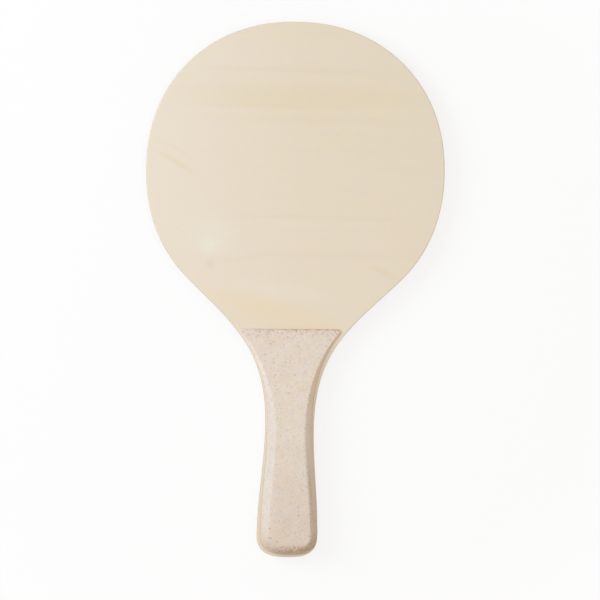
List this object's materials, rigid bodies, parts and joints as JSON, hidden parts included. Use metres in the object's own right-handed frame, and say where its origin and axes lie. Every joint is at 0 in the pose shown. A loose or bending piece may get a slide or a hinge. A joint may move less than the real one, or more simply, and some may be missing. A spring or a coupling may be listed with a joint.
{
  "type": "frescobol racket",
  "caption": "Flat wooden beach racket with a round blade and a moulded two-shell grip, for hitting a small ball by hand.",
  "frame": {"origin": "under the middle of the racket's length and width, on the plane that the rear grip lies on", "axes": "+Y along the racket from the handle to the tip of the blade, +Z through its thickness towards the front face, +X across it"},
  "size_m": [0.2122, 0.38, 0.025],
  "materials": {
    "face_veneer": "pale poplar veneer, sanded, thin matt clear coat, grain across the blade",
    "cross_veneer": "poplar veneer laid along the racket, sanded end grain at the edge",
    "core_veneer": "poplar veneer laid across the racket, sanded edge",
    "straw_plastic": "moulded straw-filled polypropylene, pale beige with brown flecks, satin",
    "adhesive": "dried clear contact adhesive, amber at the edge"
  },
  "bodies": {
    "root": {"face_ply_front": "face_veneer", "cross_ply_front": "cross_veneer", "core_ply": "core_veneer", "cross_ply_rear": "cross_veneer", "face_ply_rear": "face_veneer", "grip_shell_front": "straw_plastic", "grip_shell_rear": "straw_plastic", "adhesive_film_front": "adhesive", "adhesive_film_rear": "adhesive"}
  },
  "joints": []
}
